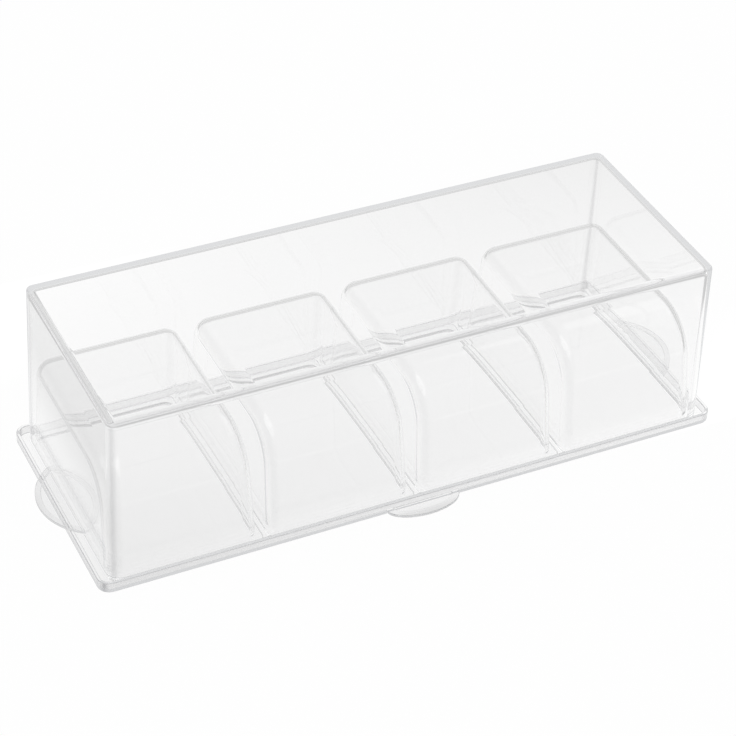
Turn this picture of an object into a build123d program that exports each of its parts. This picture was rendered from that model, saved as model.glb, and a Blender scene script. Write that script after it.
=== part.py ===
from build123d import *
from math import radians, tan
import os

# Bar garnish tray, standing upside down on its lid.
# Sizes are in millimetres, +Z is up, and z = 0 is the underside of the lid.

# ice tub, open side down
tub_length = 404.0
tub_width = 149.6
tub_height = 115.6
tub_wall = 2.6
tub_draft = 1.5
tub_corner = 8.0
tub_hollow_corner = 7.5
tub_edge_round = 1.8
tub_hollow_round = 3.5
tub_rim_round = 0.6

# round finger grips on both ends of the tub, just clear of the lid's lip
grip_radius = 39.0
grip_reach = 18.0
grip_clearance = 0.2
grip_thickness = 2.0
grip_web = 1.0
grip_bead = 3.6
grip_edge_round = 0.5

# garnish bins, mouth down, hanging by a flange between the tub's rim and the lid
bin_count = 4
bin_depth = 70.2
bin_wall = 2.2
bin_side_draft = 1.5
bin_front_draft = 8.3
bin_back_draft = 5.5
bin_front_radius = 35.5
bin_back_round = 13.0
bin_side_round = 10.0

# flange round each bin's mouth
flange_thickness = 2.0
flange_setback = 1.1
flange_gap = 3.4
flange_side_margin = 2.0
flange_front_margin = 3.5
flange_back_margin = 4.4
flange_corner = 5.0
flange_edge_round = 0.6

# lid
lid_floor = 2.0
lid_wall = 2.2
lid_height = 7.5
lid_end_clearance = 5.1
lid_side_clearance = 2.1
lid_corner = 8.0
lid_heel_round = 1.2
lid_lip_round = 0.7

# half-round finger tab on the lid's front
tab_z = 2.0
tab_thickness = 2.0
tab_web = 1.1
tab_bead = 4.6
tab_reach = 12.4
tab_chord = 49.6
tab_edge_round = 0.5

# the flanges share the tub's length, and the bins and the lid follow from them
flange_reach = tub_width - 2 * flange_setback
flange_span = tub_length - 2 * flange_setback
flange_width = (flange_span - (bin_count - 1) * flange_gap) / bin_count
bin_pitch = flange_width + flange_gap
bin_foot_width = flange_width - 2 * flange_side_margin
bin_front_foot = flange_reach / 2 - flange_front_margin
bin_back_foot = flange_reach / 2 - flange_back_margin
lid_length = tub_length + 2 * (lid_end_clearance + lid_wall)
lid_width = tub_width + 2 * (lid_side_clearance + lid_wall)

# heights that follow from the stack
flange_z = lid_floor
rim_z = flange_z + flange_thickness
crown_z = rim_z + bin_depth
crown_rise = crown_z - flange_z
grip_z = lid_height + grip_clearance

# space that the profile sketches run past the solid they cut
spare = 20.0


# ice tub: a drafted block, hollowed from below, its edges rounded inside and out
with BuildPart() as ice_tub:
    with BuildSketch(Plane.XY.offset(rim_z)) as tub_plan:
        RectangleRounded(tub_length, tub_width, tub_corner)
    extrude(amount=tub_height, taper=tub_draft)
    closed_face = ice_tub.faces().sort_by(Axis.Z)[-1]
    fillet(closed_face.edges(), radius=tub_edge_round)
    with BuildSketch(Plane.XY.offset(rim_z)) as tub_hollow:
        RectangleRounded(tub_length - 2 * tub_wall, tub_width - 2 * tub_wall, tub_hollow_corner)
    extrude(amount=tub_height - tub_wall, taper=tub_draft, mode=Mode.SUBTRACT)
    hollow_end = ice_tub.faces().filter_by(Axis.Z).sort_by(Axis.Z)[1]
    fillet(hollow_end.edges(), radius=tub_hollow_round)
    rim = ice_tub.faces().filter_by(Axis.Z).sort_by(Axis.Z)[0]
    fillet(rim.edges(), radius=tub_rim_round)

    # each grip is a round segment outside the end wall: a thin web with a raised bead round it
    grip_centre = tub_length / 2 + grip_reach - grip_radius
    for grip_x in (-grip_centre, grip_centre):
        with BuildSketch(Plane.XY.offset(grip_z)) as grip_plan:
            with Locations((grip_x, 0)):
                Circle(grip_radius)
            RectangleRounded(tub_length - tub_wall, tub_width - tub_wall, tub_corner, mode=Mode.SUBTRACT)
        extrude(amount=grip_thickness)
        fillet(ice_tub.edges(Select.LAST).filter_by(GeomType.CIRCLE), radius=grip_edge_round)
        with BuildSketch(Plane.XY.offset(grip_z + grip_thickness)) as grip_dish:
            with Locations((grip_x, 0)):
                Circle(grip_radius - grip_bead)
            RectangleRounded(tub_length, tub_width, tub_corner, mode=Mode.SUBTRACT)
        extrude(amount=-(grip_thickness - grip_web), mode=Mode.SUBTRACT)


# garnish bin: side profile swept across, side draft cut by a tapered block,
# every long edge rounded, then shelled from the mouth
with BuildPart() as garnish_bin:
    with BuildSketch(Plane.YZ) as bin_profile:
        with BuildLine():
            Polyline(
                (-bin_front_foot, flange_z),
                (-bin_front_foot + crown_rise * tan(radians(bin_front_draft)), crown_z),
                (bin_back_foot - crown_rise * tan(radians(bin_back_draft)), crown_z),
                (bin_back_foot, flange_z),
                close=True,
            )
        make_face()
        front_corner = bin_profile.vertices().group_by(Axis.Y)[-1].sort_by(Axis.X)[0]
        fillet(front_corner, radius=bin_front_radius)
        back_corner = bin_profile.vertices().group_by(Axis.Y)[-1].sort_by(Axis.X)[-1]
        fillet(back_corner, radius=bin_back_round)
    extrude(amount=bin_foot_width, both=True)
    with BuildSketch(Plane.XY.offset(flange_z)) as bin_plan:
        Rectangle(bin_foot_width, 2 * (bin_front_foot + spare))
    extrude(amount=crown_rise, taper=bin_side_draft, mode=Mode.INTERSECT)
    mouth = garnish_bin.faces().sort_by(Axis.Z)[0]
    side_edges = garnish_bin.edges() - garnish_bin.edges().filter_by(Axis.X) - mouth.edges()
    fillet(side_edges, radius=bin_side_round)
    mouth = garnish_bin.faces().sort_by(Axis.Z)[0]
    offset(amount=-bin_wall, openings=mouth)
    with BuildSketch(Plane.XY.offset(flange_z)) as flange_plan:
        RectangleRounded(flange_width, flange_reach, flange_corner)
        with Locations((0, (bin_back_foot - bin_front_foot) / 2)):
            RectangleRounded(
                bin_foot_width - bin_wall,
                bin_front_foot + bin_back_foot - bin_wall,
                bin_side_round - bin_wall / 2,
                mode=Mode.SUBTRACT,
            )
    extrude(amount=flange_thickness)
    flange_underside = garnish_bin.faces().filter_by(Axis.Z).sort_by(Axis.Z)[0]
    fillet(flange_underside.outer_wire().edges(), radius=flange_edge_round)


# lid: a shallow tray with a rounded heel, hollowed from above
with BuildPart() as lid:
    with BuildSketch(Plane.XY) as lid_plan:
        RectangleRounded(lid_length, lid_width, lid_corner)
    extrude(amount=lid_height)
    heel = lid.faces().sort_by(Axis.Z)[0].edges()
    fillet(heel, radius=lid_heel_round)
    with BuildSketch(Plane.XY.offset(lid_floor)) as lid_hollow:
        RectangleRounded(lid_length - 2 * lid_wall, lid_width - 2 * lid_wall, lid_corner - lid_wall)
    extrude(amount=lid_height - lid_floor, mode=Mode.SUBTRACT)
    lip = lid.faces().filter_by(Axis.Z).sort_by(Axis.Z)[-1]
    fillet(lip.edges(), radius=lid_lip_round)

    # the tab is a half ellipse outside the skirt: a thin web with a raised bead round it
    with BuildSketch(Plane.XY.offset(tab_z)) as tab_plan:
        with Locations((0, -lid_width / 2)):
            Ellipse(tab_chord / 2, tab_reach)
        RectangleRounded(lid_length - lid_wall, lid_width - lid_wall, lid_corner, mode=Mode.SUBTRACT)
    extrude(amount=tab_thickness)
    fillet(lid.edges(Select.LAST).filter_by(GeomType.ELLIPSE), radius=tab_edge_round)
    with BuildSketch(Plane.XY.offset(tab_z + tab_thickness)) as tab_dish:
        with Locations((0, -lid_width / 2)):
            Ellipse(tab_chord / 2 - tab_bead, tab_reach - tab_bead)
        RectangleRounded(lid_length, lid_width, lid_corner, mode=Mode.SUBTRACT)
    extrude(amount=-(tab_thickness - tab_web), mode=Mode.SUBTRACT)


os.makedirs("parts", exist_ok=True)

ice_tub.part.label = "ice_tub"
export_step(ice_tub.part, "parts/ice_tub.step")

lid.part.label = "lid"
export_step(lid.part, "parts/lid.step")

for number in range(bin_count):
    bin_x = (number - (bin_count - 1) / 2) * bin_pitch
    placed_bin = garnish_bin.part.moved(Location((bin_x, 0, 0)))
    placed_bin.label = f"garnish_bin_{number + 1}"
    export_step(placed_bin, f"parts/{placed_bin.label}.step")
    print(placed_bin.label, round(placed_bin.volume), placed_bin.is_valid)

print("ice_tub", round(ice_tub.part.volume), ice_tub.part.is_valid)
print("lid", round(lid.part.volume), lid.part.is_valid)
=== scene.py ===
import bpy
import math
import numpy as np
from mathutils import Matrix, Vector


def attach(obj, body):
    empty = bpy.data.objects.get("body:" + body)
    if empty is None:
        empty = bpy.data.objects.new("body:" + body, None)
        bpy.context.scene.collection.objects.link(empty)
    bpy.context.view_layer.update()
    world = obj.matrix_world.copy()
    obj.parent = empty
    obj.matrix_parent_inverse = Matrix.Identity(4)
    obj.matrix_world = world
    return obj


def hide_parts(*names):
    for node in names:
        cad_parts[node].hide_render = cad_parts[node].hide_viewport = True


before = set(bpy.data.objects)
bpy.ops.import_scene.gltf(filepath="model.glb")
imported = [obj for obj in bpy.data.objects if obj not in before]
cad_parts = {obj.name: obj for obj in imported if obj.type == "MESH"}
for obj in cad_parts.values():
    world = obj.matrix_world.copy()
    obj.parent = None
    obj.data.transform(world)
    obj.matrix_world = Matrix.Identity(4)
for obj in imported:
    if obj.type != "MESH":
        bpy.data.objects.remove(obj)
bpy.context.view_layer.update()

mm = 0.001
seatGap = 0.04  # air left between pieces that rest on each other, in millimetres
lidFloor = 2.0  # thickness of the lid's floor, on which the flanges lie
flangeThickness = 2.0
print("frame loaded")


# surfaces and meshes

# mesh from points in millimetres, faces as lists of corners, the surface's own normals, one per point,
# and one number per point that says how much painted edge shade it takes where it lies on a rounded edge
def meshFrom(name, arrays):
    points, faces, normals, edges = arrays
    mesh = bpy.data.meshes.new(name)
    mesh.from_pydata((points * mm).tolist(), [], faces)
    mesh.polygons.foreach_set("use_smooth", np.ones(len(faces), bool))
    mesh.update()
    lengths = np.linalg.norm(normals, axis=1, keepdims=True)
    mesh.normals_split_custom_set_from_vertices((normals / lengths).tolist())
    # painted shade: the material greys each point by its number here, standing in for dark edge lines
    mesh.attributes.new("mouldEdge", "FLOAT", "POINT").data.foreach_set("value", edges.astype(np.float32))
    return mesh


# object that stands in for a CAD node, rides on its body and carries the material of its slot
def makePiece(name, mesh, materialName, node):
    piece = bpy.data.objects.new(name, mesh)
    bpy.context.scene.collection.objects.link(piece)
    piece.data.materials.append(bpy.data.materials[materialName])
    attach(piece, node)
    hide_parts(node)


# several shells joined into one set of arrays, each shell's faces counted on from the last
class Shell:
    def __init__(self):
        self.points, self.normals, self.edges, self.faces, self.count = [], [], [], [], 0

    # takes in a grid of points with the quads over its rows and columns, and gives back the points'
    # numbers; wrap closes each row on itself, and flip turns the quads over
    def skin(self, points, normals, edges=0.0, wrap=False, flip=False):
        index = self.count + np.arange(points.shape[0] * points.shape[1]).reshape(points.shape[:2])
        self.points.append(points.reshape(-1, 3))
        self.normals.append(normals.reshape(-1, 3))
        self.edges.append(np.broadcast_to(edges, points.shape[:-1]).reshape(-1))
        self.count += index.size
        across = np.concatenate([index, index[:, :1]], axis=1) if wrap else index
        quads = np.stack([across[:-1, :-1], across[:-1, 1:], across[1:, 1:], across[1:, :-1]], axis=-1)
        quads = quads.reshape(-1, 4)
        self.faces += (quads[:, ::-1] if flip else quads).tolist()
        return index

    # one flat face over a ring of points; flip turns it over
    def cap(self, ring, flip=False):
        ring = list(ring)
        self.faces.append(ring[::-1] if flip else ring)

    # everything taken in so far, in the order that meshFrom wants
    def arrays(self):
        joined = [np.concatenate(part) for part in (self.points, self.normals, self.edges)]
        return joined[0], self.faces, joined[1], joined[2]


# rounded rectangle: corner centre plus the corner radius along each direction from 0 to 360 degrees,
# steps directions to a corner; gives the points and their outward directions
def roundedLoop(halfX, halfY, radius, steps):
    turn = np.linspace(0, math.pi / 2, steps)
    angle = np.concatenate([turn + quarter * math.pi / 2 for quarter in range(4)])
    signX = np.repeat([1, -1, -1, 1], steps)
    signY = np.repeat([1, 1, -1, -1], steps)
    direction = np.stack([np.cos(angle), np.sin(angle)], axis=-1)
    x = signX * (halfX - radius) + radius * direction[:, 0]
    y = signY * (halfY - radius) + radius * direction[:, 1]
    return np.stack([x, y], axis=-1), direction


leastCorner = 0.05  # smallest corner radius of a carried wall, in millimetres
cornerPower = 10  # how closely the painted edge shade keeps to the middle of an upright corner


# wall carried round a rounded rectangle: each station is (inset, height, outward part, upward part,
# edge part) of the wall's section, the edge part being painted shade; the loop shrinks by the inset and
# so does its corner radius, and the painted edge shade also peaks at the middle of each corner, as a
# power of the sine, where the wall stands upright
def carriedWall(stations, halfX, halfY, corner, steps):
    rows, normals, edges = [], [], []
    cornerEdge = np.tile(np.sin(np.linspace(0, math.pi, steps)) ** cornerPower, 4)
    for inset, height, outward, upward, edge in stations:
        loop, direction = roundedLoop(halfX - inset, halfY - inset, max(corner - inset, leastCorner), steps)
        rows.append(np.column_stack([loop, np.full(len(loop), height)]))
        normals.append(np.column_stack([direction * outward, np.full(len(loop), upward)]))
        edges.append(1 - (1 - edge) * (1 - cornerEdge * abs(outward)))
    return np.array(rows), np.array(normals), np.array(edges)


# stations of a round of the given radius about a centre (inset, height), from one angle to another;
# angle 0 looks outward and 90 looks up; hollow turns the face inwards; the painted edge shade is the
# squared sine of the way along the round
def roundStations(inset, height, radius, fromAngle, toAngle, count, hollow=False):
    side = -1 if hollow else 1
    turn = np.radians(np.linspace(fromAngle, toAngle, count))
    cos, sin = np.cos(turn), np.sin(turn)
    edge = np.sin(np.linspace(0, math.pi, count)) ** 2
    return list(zip(inset - radius * cos, height + radius * sin, side * cos, side * sin, edge))


# finger rests and unions

# finger rest as a closed shell of its own: its section is a bead round the edge and a thin web inside,
# carried along the outline that outlineAt(inset) gives as points (along, outward) with directions; the
# outline's ends lie inside the wall, where one flat root face closes them; the bead's painted edge shade
# is at least beadTone
def fingerRest(rest, outlineAt, centre, outward):
    outward = np.array(outward, float)
    along = np.array([-outward[1], outward[0]])
    low, top = rest["low"], rest["low"] + rest["thickness"]
    floorZ, edge, bead, soft = low + rest["web"], rest["edge"], rest["bead"], rest["soft"]
    section = roundStations(edge, low + edge, edge, -90, 0, rest["edgeSteps"])
    section += roundStations(edge, top - edge, edge, 0, 90, rest["edgeSteps"])
    section += roundStations(bead - soft, top - soft, soft, 90, 180, rest["softSteps"])
    section += roundStations(bead + soft, floorZ + soft, soft, 0, -90, rest["softSteps"], hollow=True)
    rows, normals, edges = [], [], []
    for inset, height, outPart, upPart, tone in section:
        line, direction = outlineAt(inset)
        flat = line[:, :1] * along + line[:, 1:] * outward + np.array(centre)
        way = direction[:, :1] * along + direction[:, 1:] * outward
        rows.append(np.column_stack([flat, np.full(len(flat), height)]))
        normals.append(np.column_stack([way * outPart, np.full(len(flat), upPart)]))
        edges.append(np.full(len(flat), max(tone, rest["beadTone"] if inset < bead else 0)))
    shell = Shell()
    index = shell.skin(np.array(rows), np.array(normals), np.array(edges))
    shell.cap(index[0], flip=True)
    shell.cap(index[-1])
    shell.cap(np.concatenate([index[:, 0], index[::-1, -1]]))
    return shell.arrays()


# outline of a round segment: circle of radius - inset whose centre lies reach - radius from the wall,
# cut off at the root's depth inside the wall
def roundOutline(rest):
    def outlineAt(inset):
        radius = rest["radius"] - inset
        centre = rest["reach"] - rest["radius"]
        half = math.acos((-rest["root"] - centre) / radius)
        turn = np.linspace(-half, half, rest["steps"])
        direction = np.stack([np.sin(turn), np.cos(turn)], axis=-1)
        return direction * radius + np.array([0, centre]), direction
    return outlineAt


# outline of a half ellipse: half axes chord / 2 - inset and reach - inset, with a straight step at
# each end down to the root's depth inside the wall
def ovalOutline(rest):
    def outlineAt(inset):
        half, reach = rest["chord"] / 2 - inset, rest["reach"] - inset
        turn = np.linspace(math.pi, 0, rest["steps"])
        line = np.stack([half * np.cos(turn), reach * np.sin(turn)], axis=-1)
        direction = np.stack([np.cos(turn) / half, np.sin(turn) / reach], axis=-1)
        line = np.concatenate([[[-half, -rest["root"]]], line, [[half, -rest["root"]]]])
        direction = np.concatenate([direction[:1], direction, direction[-1:]])
        return line, direction / np.linalg.norm(direction, axis=1, keepdims=True)
    return outlineAt


snapWithin = 0.002  # a corner this near a shell's own point is that point, in millimetres
agreeOver = 0.6  # least cosine between a kept normal and its face


# one solid out of shells that overlap, by an exact union; a corner that lies on a shell's own point
# takes that point's normal, and a corner that the union made takes its face's
def fuseShells(name, parts):
    solids = []
    for number, part in enumerate(parts):
        solid = bpy.data.objects.new(f"{name}{number}", meshFrom(f"{name}{number}", part))
        bpy.context.scene.collection.objects.link(solid)
        solids.append(solid)
    for solid in solids[1:]:
        join = solids[0].modifiers.new("join", "BOOLEAN")
        join.operation, join.solver, join.object = "UNION", "EXACT", solid
    drawn = solids[0].evaluated_get(bpy.context.evaluated_depsgraph_get())
    mesh = bpy.data.meshes.new_from_object(drawn)
    mesh.name = name
    for solid in solids:
        bpy.data.objects.remove(solid)
    known = np.concatenate([part[0] for part in parts])
    ways = np.concatenate([part[2] for part in parts])
    ways /= np.linalg.norm(ways, axis=1, keepdims=True)
    points = np.empty(len(mesh.vertices) * 3, np.float32)
    mesh.vertices.foreach_get("co", points)
    points = points.reshape(-1, 3) / mm
    apart = (points ** 2).sum(1)[:, None] + (known ** 2).sum(1)[None] - 2 * points @ known.T
    nearest = apart.argmin(axis=1)
    same = np.linalg.norm(points - known[nearest], axis=1) < snapWithin
    corners = np.empty(len(mesh.loops), np.int32)
    mesh.loops.foreach_get("vertex_index", corners)
    faceWays = np.empty(len(mesh.polygons) * 3, np.float32)
    mesh.polygons.foreach_get("normal", faceWays)
    sizes = np.empty(len(mesh.polygons), np.int32)
    mesh.polygons.foreach_get("loop_total", sizes)
    faceWays = np.repeat(faceWays.reshape(-1, 3), sizes, axis=0)
    cornerWays = ways[nearest[corners]]
    agrees = (cornerWays * faceWays).sum(1) > agreeOver
    cornerWays = np.where((same[corners] & agrees)[:, None], cornerWays, faceWays)
    mesh.polygons.foreach_set("use_smooth", np.ones(len(mesh.polygons), bool))
    mesh.normals_split_custom_set(cornerWays.tolist())
    # painted edge shade carried over; a point that the union made takes none
    edges = np.concatenate([part[3] for part in parts])[nearest] * same
    mesh.attributes["mouldEdge"].data.foreach_set("value", edges.astype(np.float32))
    return mesh


# materials

# new node of one kind: settings by name, and inputs as numbers, colours or another node's output
def addNode(tree, kind, inputs=None, **settings):
    node = tree.nodes.new("ShaderNode" + kind)
    for name, value in settings.items():
        setattr(node, name, value)
    for slot, value in (inputs or {}).items():
        if isinstance(value, bpy.types.NodeSocket):
            tree.links.new(value, node.inputs[slot])
        else:
            node.inputs[slot].default_value = value
    return node


# result of one Math operation on up to three numbers or outputs
def mathNode(tree, operation, *values):
    return addNode(tree, "Math", dict(enumerate(values)), operation=operation).outputs[0]


# new material with an empty tree
def newMaterial(name):
    material = bpy.data.materials.new(name)
    material.use_nodes = True
    material.node_tree.nodes.clear()
    return material, material.node_tree


# moulded clear plastic: refracting solid, faintly grey, with painted shade that greys it towards
# edgeShadeTint along its rounded edges and corners, slow flow ripples and a fine uneven gloss; light
# that has been turned back inside a wall more than pipeTurns times ends in a painted glow, the even pale
# grey edgeGlow, and lamps pass through, so that the piece keeps a pale shadow
def clearPlastic(name, look):
    material, tree = newMaterial(name)
    place = addNode(tree, "TexCoord").outputs["Object"]
    stretch = addNode(tree, "Mapping", {"Vector": place, "Scale": look["rippleStretch"]})
    ripple = addNode(tree, "TexNoise", {
        "Vector": stretch.outputs["Vector"], "Scale": look["rippleScale"],
        "Detail": look["rippleDetail"], "Roughness": look["rippleRough"],
    })
    bump = addNode(tree, "Bump", {
        "Height": ripple.outputs["Fac"], "Strength": look["rippleStrength"],
        "Distance": look["rippleDepth"] * mm,
    })
    haze = addNode(tree, "TexNoise", {
        "Vector": place, "Scale": look["hazeScale"], "Detail": look["hazeDetail"],
    })
    gloss = addNode(tree, "MapRange", {
        "Value": haze.outputs["Fac"], "To Min": look["roughness"][0], "To Max": look["roughness"][1],
    })
    # painted shade: the edge mask mixes the grey edgeShadeTint into the plastic's colour
    edgeShadeMask = addNode(tree, "Attribute", attribute_name="mouldEdge")
    # a colour Mix takes its two colours at inputs 6 and 7 and gives its result at output 2
    tone = addNode(tree, "Mix", {
        "Factor": edgeShadeMask.outputs["Fac"], 6: (*look["tint"], 1), 7: (*look["edgeShadeTint"], 1),
    }, data_type="RGBA")
    plastic = addNode(tree, "BsdfPrincipled", {
        "Base Color": tone.outputs[2], "Transmission Weight": 1, "IOR": look["ior"],
        "Roughness": gloss.outputs["Result"], "Normal": bump.outputs["Normal"],
    })
    path = addNode(tree, "LightPath")
    # painted glow: deep glossy paths end in the emission edgeGlow instead of being traced on
    piped = mathNode(tree, "GREATER_THAN", path.outputs["Glossy Depth"], look["pipeTurns"])
    glow = addNode(tree, "Emission", {"Color": (*look["edgeGlow"], 1)})
    body = addNode(tree, "MixShader", {"Fac": piped, 1: plastic.outputs[0], 2: glow.outputs[0]})
    through = addNode(tree, "BsdfTransparent", {"Color": (*look["shadowTint"], 1)})
    surface = addNode(tree, "MixShader", {
        "Fac": path.outputs["Is Shadow Ray"], 1: body.outputs[0], 2: through.outputs[0],
    })
    thickness = addNode(tree, "VolumeAbsorption", {
        "Color": (*look["depthColour"], 1), "Density": look["depthDensity"],
    })
    addNode(tree, "OutputMaterial", {"Surface": surface.outputs[0], "Volume": thickness.outputs[0]})
    material.cycles.emission_sampling = "NONE"


plasticLook = {  # what all three plastics share
    "tint": (0.999, 0.999, 0.999), "ior": 1.5, "depthColour": (0.52, 0.53, 0.54), "pipeTurns": 5,
    "rippleDepth": 0.5, "rippleDetail": 1.5, "rippleRough": 0.4, "hazeDetail": 3,
}
# edgeShadeTint is the colour of the painted edge shade, and edgeGlow the colour of the painted glow
tubLook = {
    **plasticLook,
    "edgeShadeTint": (0.79, 0.79, 0.795), "shadowTint": (0.93, 0.93, 0.94),
    "edgeGlow": (0.74, 0.745, 0.755), "depthDensity": 0.4,
    "roughness": (0.0, 0.02), "hazeScale": 14.0,
    "rippleScale": 9.0, "rippleStretch": (1, 1, 0.5), "rippleStrength": 0.25,
}
binLook = {
    **plasticLook,
    "edgeShadeTint": (0.68, 0.68, 0.685), "shadowTint": (0.92, 0.92, 0.93),
    "edgeGlow": (0.72, 0.725, 0.735), "depthDensity": 0.5,
    "roughness": (0.0, 0.03), "hazeScale": 18.0,
    "rippleScale": 14.0, "rippleStretch": (1, 1, 0.5), "rippleStrength": 0.3,
}
lidLook = {
    **plasticLook,
    "edgeShadeTint": (0.5, 0.5, 0.51), "shadowTint": (0.93, 0.93, 0.94),
    "edgeGlow": (0.7, 0.705, 0.715), "depthDensity": 0.4,
    "roughness": (0.0, 0.03), "hazeScale": 14.0,
    "rippleScale": 9.0, "rippleStretch": (1, 1, 1), "rippleStrength": 0.25,
}
clearPlastic("tubPlastic", tubLook)
clearPlastic("binPlastic", binLook)
clearPlastic("lidPlastic", lidLook)
print("plastics ready")


# ice tub

tub = {  # millimetres and degrees
    "halfX": 202.0, "halfY": 74.8, "height": 115.6, "wall": 2.6, "draft": 1.5, "corner": 8.0,
    "innerCorner": 7.5, "edgeRound": 1.8, "innerRound": 3.5, "rimRound": 0.6,
    "cornerSteps": 14, "roundSteps": 12, "rimSteps": 6,
}
tubGrip = {  # millimetres
    "low": 7.7, "thickness": 2.0, "web": 1.0, "bead": 3.6, "edge": 0.5, "soft": 0.35,
    "edgeSteps": 6, "softSteps": 4,
    "radius": 39.0, "reach": 18.0, "root": 1.3, "steps": 60, "beadTone": 0.5,
}


# section of the tub, outside from the closed face's edge down and round the rim, then inside from the
# rim up to the ceiling; the inside's insets count from the hollow's own edge
def tubStations(sizes):
    foot = lidFloor + flangeThickness + seatGap
    top = lidFloor + flangeThickness + sizes["height"]
    lean, rim, wall = sizes["draft"], sizes["rimRound"], sizes["wall"]
    slope = math.tan(math.radians(lean))
    bite = math.tan(math.radians((90 - lean) / 2))
    edge, inner, ceiling = sizes["edgeRound"], sizes["innerRound"], top - wall
    steps, rimSteps = sizes["roundSteps"], sizes["rimSteps"]
    outside = roundStations((top - foot) * slope + edge * bite, top - edge, edge, 90, lean, steps)
    outside += roundStations(rim + rim * slope, foot + rim, rim, lean, -90, rimSteps)
    inside = roundStations(-rim + rim * slope, foot + rim, rim, -90, -180 + lean, rimSteps)
    innerInset = (ceiling - foot) * slope + inner * bite
    inside += roundStations(innerInset, ceiling - inner, inner, lean, 90, steps, hollow=True)
    return outside, inside


# tub: outside and inside walls as one skin, closed by the flat top and the flat ceiling, then its
# grips joined on
def buildTub(sizes, grip):
    outside, inside = tubStations(sizes)
    wall, steps = sizes["wall"], sizes["cornerSteps"]
    outer = carriedWall(outside, sizes["halfX"], sizes["halfY"], sizes["corner"], steps)
    inner = carriedWall(inside, sizes["halfX"] - wall, sizes["halfY"] - wall, sizes["innerCorner"], steps)
    rows, normals, edges = (np.concatenate(pair) for pair in zip(outer, inner))
    shell = Shell()
    index = shell.skin(rows, normals, edges, wrap=True, flip=True)
    shell.cap(index[0])
    shell.cap(index[-1], flip=True)
    outline = roundOutline(grip)
    grips = [fingerRest(grip, outline, (side * sizes["halfX"], 0), (side, 0)) for side in (-1, 1)]
    mesh = fuseShells("tubShell", [shell.arrays()] + grips)
    makePiece("tubShell", mesh, "tubPlastic", "ice_tub")


buildTub(tub, tubGrip)
print("tub built")


# garnish bins

garnishBin = {  # millimetres and degrees
    "count": 4, "pitch": 101.3, "depth": 70.2, "wall": 2.2, "halfWidth": 46.95, "sideDraft": 1.5,
    "frontFoot": 70.2, "backFoot": 69.3, "frontDraft": 8.3, "backDraft": 5.5,
    "frontRadius": 35.5, "backRound": 13.0, "sideRound": 10.0,
    "flangeHalfX": 48.95, "flangeHalfY": 73.7, "flangeCorner": 5.0, "flangeEdge": 0.6,
    # painted edge shade: flangeTone on the flange's rim, roundTone on the side rounds
    "flangeTone": 1.0, "roundTone": 0.15, "roundPower": 6,
    "sideSteps": 14, "arcSteps": 22, "wallSteps": 6, "flangeSteps": 6,
}


# skin of a bin, inset by the wall or not: each column is a side profile of front wall, front arc,
# crown, back arc and back wall, moved in by sideRound * (1 - cos a) where the side edge turns through
# the angle a; the profile starts and ends at the height footZ; the painted edge shade peaks along the
# middle of each side round, as a power of sin 2a
def binSkin(sizes, inset, footZ):
    crown = lidFloor + flangeThickness + sizes["depth"]
    front, back = math.radians(sizes["frontDraft"]), math.radians(sizes["backDraft"])
    sideRound = sizes["sideRound"] - inset
    turn = np.linspace(0, math.pi / 2, sizes["sideSteps"])
    bend = np.concatenate([turn[::-1], turn])
    side = np.repeat([-1, 1], sizes["sideSteps"])
    sunk = sideRound * (1 - np.cos(bend)) + inset  # distance inside the outer profile

    # arc that touches a wall's line and the crown's line, one row for each angle, the sunk part taken
    # off its radius
    def arcRows(wallFoot, lean, radius, sign, angles):
        height = crown - radius
        centre = wallFoot + sign * ((height - lidFloor) * math.tan(lean) + radius / math.cos(lean))
        reach = radius - sunk
        return np.array([
            centre + reach * np.cos(angles)[:, None],
            height + reach * np.sin(angles)[:, None],
        ])

    # straight wall from the height footZ up to where its arc begins, in even shares
    def wallRows(end, slope):
        footY = end[0] - slope * (end[1] - footZ)
        foot = np.array([footY, np.full_like(footY, footZ)])
        share = np.linspace(0, 1, sizes["wallSteps"])[:-1, None]
        return foot[:, None] + (end - foot)[:, None] * share

    frontAngles = np.linspace(math.pi - front, math.pi / 2, sizes["arcSteps"])
    backAngles = np.linspace(math.pi / 2, back, sizes["arcSteps"])
    frontArc = arcRows(-sizes["frontFoot"], front, sizes["frontRadius"], 1, frontAngles)
    backArc = arcRows(sizes["backFoot"], back, sizes["backRound"], -1, backAngles)
    frontWall = wallRows(frontArc[:, 0], math.tan(front))
    backWall = wallRows(backArc[:, -1], -math.tan(back))[:, ::-1]
    y, z = np.concatenate([frontWall, frontArc, backArc, backWall], axis=1)
    wallTurn = np.ones(frontWall.shape[1])
    angles = np.concatenate([
        wallTurn * frontAngles[0], frontAngles, backAngles, wallTurn * backAngles[-1],
    ])[:, None]

    sideSlope = math.tan(math.radians(sizes["sideDraft"]))
    halfWidth = sizes["halfWidth"] - inset - (z - lidFloor) * sideSlope
    x = side * (halfWidth - sideRound + sideRound * np.sin(bend))
    points = np.stack([x, y, z], axis=-1)
    normals = np.stack([
        np.broadcast_to(side * np.sin(bend), y.shape),
        np.cos(angles) * np.cos(bend),
        np.sin(angles) * np.cos(bend) + sideSlope * np.sin(bend),
    ], axis=-1)
    edges = np.broadcast_to(sizes["roundTone"] * np.sin(2 * bend) ** sizes["roundPower"], y.shape)
    return points, normals, edges


# foot of a skin as one loop of points, in the order of roundedLoop: the back row from right to left,
# then the front row from left to right
def footLoop(skin):
    return np.concatenate([skin[-1, ::-1], skin[0]])


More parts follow.
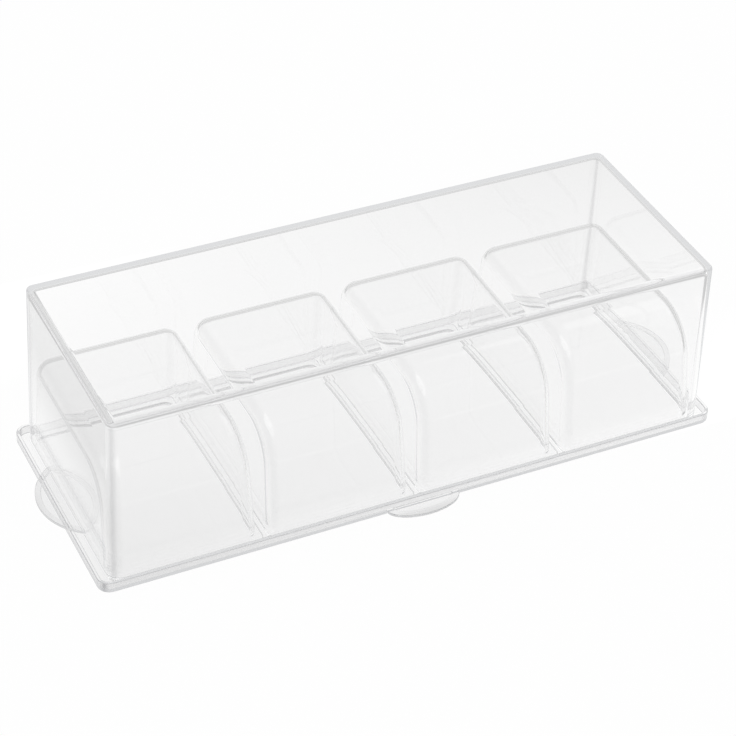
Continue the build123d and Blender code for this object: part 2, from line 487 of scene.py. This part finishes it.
# bin: outer and inner skins, each closed by its two flat side walls and joined at the foot by the
# flange's rings, then moved along X by its number's distance from the middle of the row
def buildBin(sizes, number):
    shell = Shell()
    flangeTop = lidFloor + flangeThickness - seatGap / 2
    flangeBottom = lidFloor + seatGap / 2
    outer, outerNormals, outerEdges = binSkin(sizes, 0, flangeTop)
    inner, innerNormals, innerEdges = binSkin(sizes, sizes["wall"], flangeBottom)
    outerIndex = shell.skin(outer, outerNormals, outerEdges)
    innerIndex = shell.skin(inner, -innerNormals, innerEdges, flip=True)
    shell.cap(outerIndex[:, 0])
    shell.cap(outerIndex[:, -1], flip=True)
    shell.cap(innerIndex[:, 0], flip=True)
    shell.cap(innerIndex[:, -1])

    # flange: flat ring out from the foot, round its lower edge, flat ring back to the inner foot
    up = np.array([0, 0, 1.0])
    edge = sizes["flangeEdge"]
    outline = (sizes["flangeHalfX"], sizes["flangeHalfY"], sizes["flangeCorner"], sizes["sideSteps"])
    loop, _ = roundedLoop(*outline)
    topRing = np.stack([footLoop(outer), np.column_stack([loop, np.full(len(loop), flangeTop)])])
    shell.skin(topRing, np.broadcast_to(up, topRing.shape), wrap=True, flip=True)
    stations = [(0, flangeTop, 1, 0, 0)]
    stations += roundStations(edge, flangeBottom + edge, edge, 0, -90, sizes["flangeSteps"])
    rim, rimNormals, _ = carriedWall(stations, *outline)
    # painted edge shade of flangeTone all over the rim round
    shell.skin(rim, rimNormals, sizes["flangeTone"], wrap=True, flip=True)
    lowRing = np.stack([rim[-1], footLoop(inner)])
    shell.skin(lowRing, np.broadcast_to(-up, lowRing.shape), wrap=True, flip=True)

    points, faces, normals, edges = shell.arrays()
    points[:, 0] += (number - (sizes["count"] - 1) / 2) * sizes["pitch"]
    mesh = meshFrom(f"binShell{number + 1}", (points, faces, normals, edges))
    makePiece(mesh.name, mesh, "binPlastic", f"garnish_bin_{number + 1}")


for number in range(garnishBin["count"]):
    buildBin(garnishBin, number)
print("bins built")


# lid with its finger tab

lidSpec = {  # millimetres
    "halfX": 209.3, "halfY": 79.1, "height": 7.5, "wall": 2.2, "corner": 8.0, "heelRound": 1.2,
    "lipRound": 0.7, "skirtTone": 0.28, "floorRound": 0.5,
    "cornerSteps": 14, "heelSteps": 8, "lipSteps": 6, "floorSteps": 5,
}
lidTab = {  # millimetres
    "low": 2.0, "thickness": 2.0, "web": 1.1, "bead": 4.6, "edge": 0.5, "soft": 0.35,
    "edgeSteps": 6, "softSteps": 4,
    "chord": 49.6, "reach": 12.4, "root": 1.1, "steps": 60, "beadTone": 0.15,
}


# section of the lid, from the underside's heel up the skirt, over the lip and down to the floor; the
# skirt's upright faces take painted edge shade of at least skirtTone
def lidStations(sizes):
    heel, lip, wall, root = sizes["heelRound"], sizes["lipRound"], sizes["wall"], sizes["floorRound"]
    top, lipSteps, tone = sizes["height"], sizes["lipSteps"], sizes["skirtTone"]
    stations = roundStations(heel, heel, heel, -90, 0, sizes["heelSteps"])
    stations += roundStations(lip, top - lip, lip, 0, 90, lipSteps)
    stations += roundStations(wall - lip, top - lip, lip, 90, 180, lipSteps)
    stations += [(wall, lidFloor + root, -1, 0, 0)]
    stations += roundStations(wall + root, lidFloor + root, root, 0, -90, sizes["floorSteps"], hollow=True)
    return [(*station[:4], max(station[4], tone * abs(station[2]))) for station in stations]


# lid: its wall carried round as one skin, closed by the flat underside and the flat floor, then its
# tab joined on
def buildLid(sizes, tab):
    outline = (sizes["halfX"], sizes["halfY"], sizes["corner"], sizes["cornerSteps"])
    rows, normals, edges = carriedWall(lidStations(sizes), *outline)
    shell = Shell()
    index = shell.skin(rows, normals, edges, wrap=True)
    shell.cap(index[0], flip=True)
    shell.cap(index[-1])
    front = fingerRest(tab, ovalOutline(tab), (0, -sizes["halfY"]), (0, -1))
    mesh = fuseShells("lidShell", [shell.arrays(), front])
    makePiece("lidShell", mesh, "lidPlastic", "lid")


buildLid(lidSpec, lidTab)
print("lid built")


# floor, studio and camera

# white sweep: shows white to the eye, and through clear pieces and in gloss a card that just fills the
# view through the piece, its tone cardWhite - cardShadeTwist * x * y in card halves, a painted shade that
# makes it a little greyer at the front left and the back right; past the card's edge, where the larger of
# the two distances in card halves is over 1, these see it fade to a ring of grey, which draws the lines
# of clear edges, and from roomNear to roomFar metres out back to white; the share left to the paper
# takes a plain shadow
def floorMaterial(look):
    material, tree = newMaterial("sweepPaper")
    place = addNode(tree, "TexCoord").outputs["Object"]
    card = addNode(tree, "Mapping", {
        "Vector": place, "Location": (*look["cardCentre"], 0), "Scale": (*look["cardHalf"], 1),
    }, vector_type="TEXTURE").outputs["Vector"]
    signed = addNode(tree, "SeparateXYZ", {"Vector": card})
    product = mathNode(tree, "MULTIPLY", signed.outputs["X"], signed.outputs["Y"])
    # painted shade: the card is greyer towards the front left and the back right
    cardTone = mathNode(tree, "MULTIPLY_ADD", product, -look["cardShadeTwist"], look["cardWhite"])
    reach = addNode(tree, "VectorMath", {0: place}, operation="LENGTH")
    room = addNode(tree, "MapRange", {
        "Value": reach.outputs["Value"], "From Min": look["roomNear"], "From Max": look["roomFar"],
        "To Min": look["roomGrey"], "To Max": look["farWhite"],
    })
    size = addNode(tree, "VectorMath", {0: card}, operation="ABSOLUTE")
    split = addNode(tree, "SeparateXYZ", {"Vector": size.outputs["Vector"]})
    away = mathNode(tree, "MAXIMUM", split.outputs["X"], split.outputs["Y"])
    fade = addNode(tree, "MapRange", {
        "Value": away, "From Min": 1, "From Max": look["cardFade"],
        "To Min": cardTone, "To Max": room.outputs["Result"],
    })
    path = addNode(tree, "LightPath")
    toEye = path.outputs["Is Camera Ray"]
    tone = mathNode(tree, "MAXIMUM", toEye, fade.outputs["Result"])
    seen = mathNode(tree, "MAXIMUM", toEye, path.outputs["Is Glossy Ray"])
    seen = mathNode(tree, "MAXIMUM", seen, path.outputs["Is Transmission Ray"])
    share = mathNode(tree, "MULTIPLY", seen, 1 - look["shadowShare"])
    paper = addNode(tree, "BsdfDiffuse", {"Color": (*look["paperTone"], 1)})
    glow = addNode(tree, "Emission", {"Color": tone, "Strength": look["floorWhite"]})
    surface = addNode(tree, "MixShader", {"Fac": share, 1: paper.outputs[0], 2: glow.outputs[0]})
    addNode(tree, "OutputMaterial", {"Surface": surface.outputs[0]})
    return material


studio = {  # metres
    "floorHalf": 9.0, "floorDrop": 0.0004, "floorWhite": 1.0,
    "paperTone": (0.9, 0.9, 0.9), "shadowShare": 0.02,
    "cardCentre": (0.05, 0.0775), "cardHalf": (0.262, 0.1575), "cardFade": 1.1,
    "cardWhite": 0.97, "cardShadeTwist": 0.1,
    "roomGrey": 0.62, "roomNear": 0.5, "roomFar": 0.9, "farWhite": 0.95,
    "skyTone": (0.8, 0.8, 0.8), "skyLow": 0.82, "skyHigh": 0.97, "skyTop": 0.8, "skyLight": 0.75,
    "bounces": 40, "glossyBounces": 16,
}

floorMesh = bpy.data.meshes.new("sweepFloor")
half, under = studio["floorHalf"], -studio["floorDrop"]
corners = [(-half, -half, under), (half, -half, under), (half, half, under), (-half, half, under)]
floorMesh.from_pydata(corners, [], [(0, 1, 2, 3)])
floor = bpy.data.objects.new("sweepFloor", floorMesh)
bpy.context.scene.collection.objects.link(floor)
floor.data.materials.append(floorMaterial(studio))


# sky: skyTone times a strength, which is 1 to the eye, rises from skyLow at the horizon to skyHigh
# overhead in glass and gloss, and is skyLight for the plain light on everything else
def buildSky(look):
    world = bpy.data.worlds.new("studioSky")
    bpy.context.scene.world = world
    world.use_nodes = True
    tree = world.node_tree
    tree.nodes.clear()
    place = addNode(tree, "TexCoord").outputs["Generated"]
    split = addNode(tree, "SeparateXYZ", {"Vector": place})
    fade = addNode(tree, "MapRange", {
        "Value": split.outputs["Z"], "From Max": look["skyTop"],
        "To Min": look["skyLow"], "To Max": look["skyHigh"],
    })
    path = addNode(tree, "LightPath")
    glossy, through = path.outputs["Is Glossy Ray"], path.outputs["Is Transmission Ray"]
    bounce = mathNode(tree, "MAXIMUM", glossy, through)
    pick = addNode(tree, "Mix", {"Factor": bounce, "A": look["skyLight"], "B": fade.outputs["Result"]})
    toEye = path.outputs["Is Camera Ray"]
    eye = addNode(tree, "Mix", {"Factor": toEye, "A": pick.outputs["Result"], "B": 1})
    glow = addNode(tree, "Background", {
        "Color": (*look["skyTone"], 1), "Strength": eye.outputs["Result"],
    })
    addNode(tree, "OutputWorld", {"Surface": glow.outputs[0]})


buildSky(studio)


lampBoxes = {  # metres and watts
    "aim": (0, 0, 0.05),
    "keyBox": {"place": (-1.2, -0.4, 1.9), "size": (1.8, 1.4), "power": 9.0},
    "fillBox": {"place": (1.6, 0.6, 1.6), "size": (1.6, 1.2), "power": 2.5},
}


# rectangular lamp at its place, turned so that it looks along the line to the aim
def softBox(name, box, aim):
    light = bpy.data.lights.new(name, "AREA")
    light.shape = "RECTANGLE"
    light.size, light.size_y = box["size"]
    light.energy = box["power"]
    lamp = bpy.data.objects.new(name, light)
    lamp.location = box["place"]
    lamp.rotation_euler = (Vector(aim) - Vector(box["place"])).to_track_quat("-Z", "Y").to_euler()
    bpy.context.scene.collection.objects.link(lamp)


softBox("keyBox", lampBoxes["keyBox"], lampBoxes["aim"])
softBox("fillBox", lampBoxes["fillBox"], lampBoxes["aim"])

cameraSpec = {  # degrees and metres, the lens and sensor in millimetres
    "azimuth": -27.267, "elevation": 37.963, "roll": 2.932, "distance": 1.52404,
    "slideRight": 0.00051, "slideUp": 0.03565, "aimHeight": 0.004, "lens": 116.93, "sensor": 36,
}


# camera at a distance from the aim point along azimuth and elevation, rolled about its own axis,
# then slid right and up in its own plane
def buildCamera(view):
    azimuth, elevation, roll = (math.radians(view[key]) for key in ("azimuth", "elevation", "roll"))
    level = math.cos(elevation)
    back = Vector((math.sin(azimuth) * level, -math.cos(azimuth) * level, math.sin(elevation)))
    right = (-back).cross(Vector((0, 0, 1))).normalized()
    up = right.cross(-back)
    rolledRight = right * math.cos(roll) + up * math.sin(roll)
    rolledUp = up * math.cos(roll) - right * math.sin(roll)
    place = back * view["distance"] + rolledRight * view["slideRight"] + rolledUp * view["slideUp"]
    place += Vector((0, 0, view["aimHeight"]))
    data = bpy.data.cameras.new("photoCamera")
    data.lens, data.sensor_width = view["lens"], view["sensor"]
    camera = bpy.data.objects.new("photoCamera", data)
    turn = Matrix((rolledRight, rolledUp, back)).transposed()
    camera.matrix_world = Matrix.Translation(place) @ turn.to_4x4()
    bpy.context.scene.collection.objects.link(camera)
    bpy.context.scene.camera = camera


buildCamera(cameraSpec)

scene = bpy.context.scene
scene.view_settings.view_transform = "Standard"
scene.cycles.max_bounces = studio["bounces"]
scene.cycles.transmission_bounces = studio["bounces"]
scene.cycles.glossy_bounces = studio["glossyBounces"]
scene.cycles.transparent_max_bounces = studio["bounces"]
print("studio ready")
